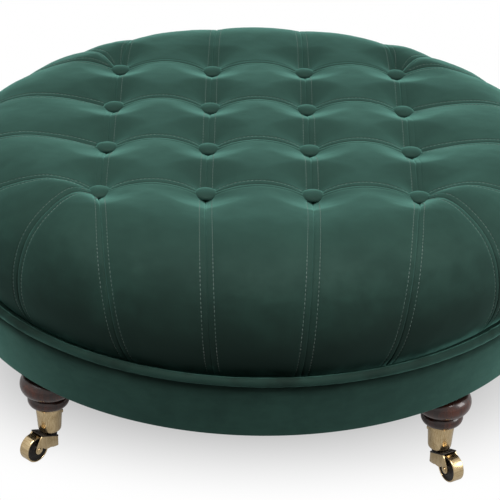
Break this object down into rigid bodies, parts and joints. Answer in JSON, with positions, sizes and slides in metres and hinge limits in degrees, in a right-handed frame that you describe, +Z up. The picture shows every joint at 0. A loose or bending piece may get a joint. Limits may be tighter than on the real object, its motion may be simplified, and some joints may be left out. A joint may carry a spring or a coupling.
{
  "type": "tufted footstool",
  "caption": "Round deep-buttoned velvet footstool with a piped band, turned legs and swivelling cup castors.",
  "frame": {"origin": "middle of the footprint, on the floor under the wheels", "axes": "+Z up; -Y is the front, the side that faces the viewer"},
  "size_m": [0.881, 0.881, 0.3904],
  "materials": {
    "velvet": "dark green cotton velvet",
    "mahogany": "french polished",
    "brass": "antiqued",
    "steel": "blackened steel",
    "plywood": "bare",
    "timber": "sawn",
    "cambric": "black woven cloth",
    "foam": "open cell foam",
    "twine": "waxed"
  },
  "bodies": {
    "stool": {"button_twines": "twine", "castor_cups": "brass", "covered_buttons": "velvet", "cross_rails": "timber", "deck_board": "plywood", "dust_cloth": "cambric", "foam_block": "foam", "leg_blocks": "timber", "leg_bolts": "steel", "piping": "velvet", "plinth_band": "velvet", "rim_hoop": "plywood", "turned_legs": "mahogany", "twine_toggles": "timber", "velvet_cover": "velvet"},
    "castor_front_left": {"castor_fork_front_left": "brass", "castor_pin_front_left": "steel", "castor_axle_front_left": "steel"},
    "wheel_front_left": {"castor_wheel_front_left": "brass"},
    "castor_front_right": {"castor_fork_front_right": "brass", "castor_pin_front_right": "steel", "castor_axle_front_right": "steel"},
    "wheel_front_right": {"castor_wheel_front_right": "brass"},
    "castor_back_right": {"castor_fork_back_right": "brass", "castor_pin_back_right": "steel", "castor_axle_back_right": "steel"},
    "wheel_back_right": {"castor_wheel_back_right": "brass"},
    "castor_back_left": {"castor_fork_back_left": "brass", "castor_pin_back_left": "steel", "castor_axle_back_left": "steel"},
    "wheel_back_left": {"castor_wheel_back_left": "brass"}
  },
  "joints": [
    {"name": "swivel_front_left", "type": "hinge", "parent": "stool", "child": "castor_front_left", "pos_m": [-0.28051, -0.26806, 0.0364], "axis": [0, 0, 1], "continuous": true},
    {"name": "roll_front_left", "type": "hinge", "parent": "castor_front_left", "child": "wheel_front_left", "pos_m": [-0.30031, -0.28966, 0.019], "axis": [0.7373, -0.6756, 0], "continuous": true},
    {"name": "swivel_front_right", "type": "hinge", "parent": "stool", "child": "castor_front_right", "pos_m": [0.25095, -0.29592, 0.0364], "axis": [0, 0, 1], "continuous": true},
    {"name": "roll_front_right", "type": "hinge", "parent": "castor_front_right", "child": "wheel_front_right", "pos_m": [0.26538, -0.32142, 0.019], "axis": [0.8704, 0.4924, 0], "continuous": true},
    {"name": "swivel_back_right", "type": "hinge", "parent": "stool", "child": "castor_back_right", "pos_m": [0.28051, 0.26806, 0.0364], "axis": [0, 0, 1], "continuous": true},
    {"name": "roll_back_right", "type": "hinge", "parent": "castor_back_right", "child": "wheel_back_right", "pos_m": [0.29149, 0.29523, 0.019], "axis": [-0.9272, 0.3746, 0], "continuous": true},
    {"name": "swivel_back_left", "type": "hinge", "parent": "stool", "child": "castor_back_left", "pos_m": [-0.25095, 0.29592, 0.0364], "axis": [0, 0, 1], "continuous": true},
    {"name": "roll_back_left", "type": "hinge", "parent": "castor_back_left", "child": "wheel_back_left", "pos_m": [-0.26979, 0.31836, 0.019], "axis": [-0.766, -0.6428, 0], "continuous": true}
  ]
}
